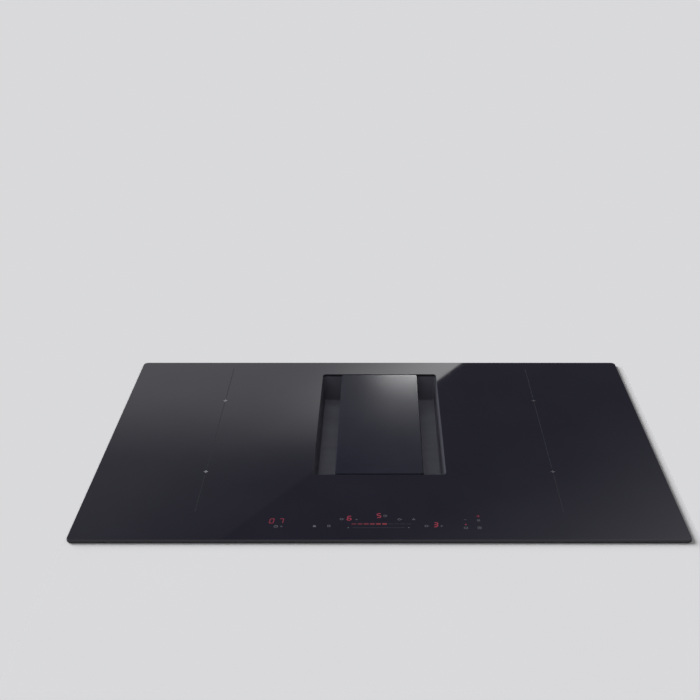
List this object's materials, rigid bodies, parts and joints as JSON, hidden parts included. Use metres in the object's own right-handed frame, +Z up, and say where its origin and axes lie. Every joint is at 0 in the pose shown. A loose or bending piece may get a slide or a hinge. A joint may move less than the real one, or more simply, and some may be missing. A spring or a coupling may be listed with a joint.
{
  "type": "downdraft induction cooktop",
  "caption": "Flat black glass induction hob with a sunken extractor: air is drawn through slots beside a lift-out cover, past a filter cassette and a blower to a rear duct.",
  "frame": {"origin": "on the underside of the blower, below the centre of the glass", "axes": "+X to the cook's right, +Y to the back of the worktop, +Z up"},
  "size_m": [0.83, 0.515, 0.2199],
  "materials": {
    "glass_black": "polished black glass-ceramic",
    "glass_satin": "satin black glass",
    "foam": "dark grey foam tape",
    "moulding_black": "fine-textured black moulding",
    "moulding_grey": "fine-textured grey moulding",
    "galvanised": "galvanised sheet",
    "stainless": "brushed stainless steel",
    "aluminium": "mill finish",
    "copper": "wound enamelled copper strand",
    "mica": "pressed mica sheet",
    "ferrite": "dark sintered bars in a moulded carrier",
    "circuit": "green circuit board with its parts",
    "rubber": "black rubber",
    "white": "white heat-resistant moulding"
  },
  "bodies": {
    "hob": {"glass_top": "glass_black", "worktop_seal": "foam", "inlet_basin": "moulding_black", "casing_frame": "galvanised", "casing_floor": "galvanised", "scroll_case": "moulding_black", "scroll_lid": "moulding_black", "inlet_bell": "moulding_grey", "plenum": "moulding_black", "motor_body": "aluminium", "motor_bracket": "galvanised", "motor_bush_1": "rubber", "motor_bush_2": "rubber", "motor_bush_3": "rubber", "outlet_collar": "moulding_black", "tank_rail_left": "galvanised", "tank_rail_right": "galvanised", "mains_board": "circuit", "terminal_block": "white", "cable_gland": "moulding_black", "blower_board": "circuit", "touch_board": "circuit", "control_tray": "moulding_grey", "mica_sheet_left": "mica", "coil_plate_left": "aluminium", "power_board_left": "circuit", "heat_sink_left": "aluminium", "fan_housing_left": "moulding_black", "clip_front_left": "stainless", "clip_back_left": "stainless", "mica_sheet_right": "mica", "coil_plate_right": "aluminium", "power_board_right": "circuit", "heat_sink_right": "aluminium", "fan_housing_right": "moulding_black", "clip_front_right": "stainless", "clip_back_right": "stainless", "winding_front_left": "copper", "coil_base_front_left": "ferrite", "sensor_front_left": "white", "winding_back_left": "copper", "coil_base_back_left": "ferrite", "sensor_back_left": "white", "winding_front_right": "copper", "coil_base_front_right": "ferrite", "sensor_front_right": "white", "winding_back_right": "copper", "coil_base_back_right": "ferrite", "sensor_back_right": "white"},
    "cover": {"cover_panel": "glass_satin", "cover_carrier": "moulding_black"},
    "cassette": {"filter_base": "moulding_black", "filter_frame": "stainless", "filter_mesh_left": "stainless", "filter_mesh_right": "stainless"},
    "impeller": {"impeller": "moulding_grey", "motor_shaft": "stainless"},
    "tank": {"drip_tank": "moulding_grey"},
    "fan_left": {"fan_rotor_left": "moulding_grey"},
    "fan_right": {"fan_rotor_right": "moulding_grey"}
  },
  "joints": [
    {"name": "cassette_lift", "type": "slide", "parent": "hob", "child": "cassette", "axis": [0, 0, 1], "range_m": [0, 0.12]},
    {"name": "cover_lift", "type": "slide", "parent": "cassette", "child": "cover", "axis": [0, 0, 1], "range_m": [0, 0.06]},
    {"name": "impeller_spin", "type": "hinge", "parent": "hob", "child": "impeller", "pos_m": [0, 0.04, 0.06], "axis": [0, 0, 1], "continuous": true},
    {"name": "fan_left_spin", "type": "hinge", "parent": "hob", "child": "fan_left", "pos_m": [-0.2536, -0.1535, 0.18], "axis": [0, 0, 1], "continuous": true},
    {"name": "fan_right_spin", "type": "hinge", "parent": "hob", "child": "fan_right", "pos_m": [0.2536, -0.1535, 0.18], "axis": [0, 0, 1], "continuous": true},
    {"name": "tank_slide", "type": "slide", "parent": "hob", "child": "tank", "axis": [0, -1, 0], "range_m": [0, 0.095]}
  ]
}
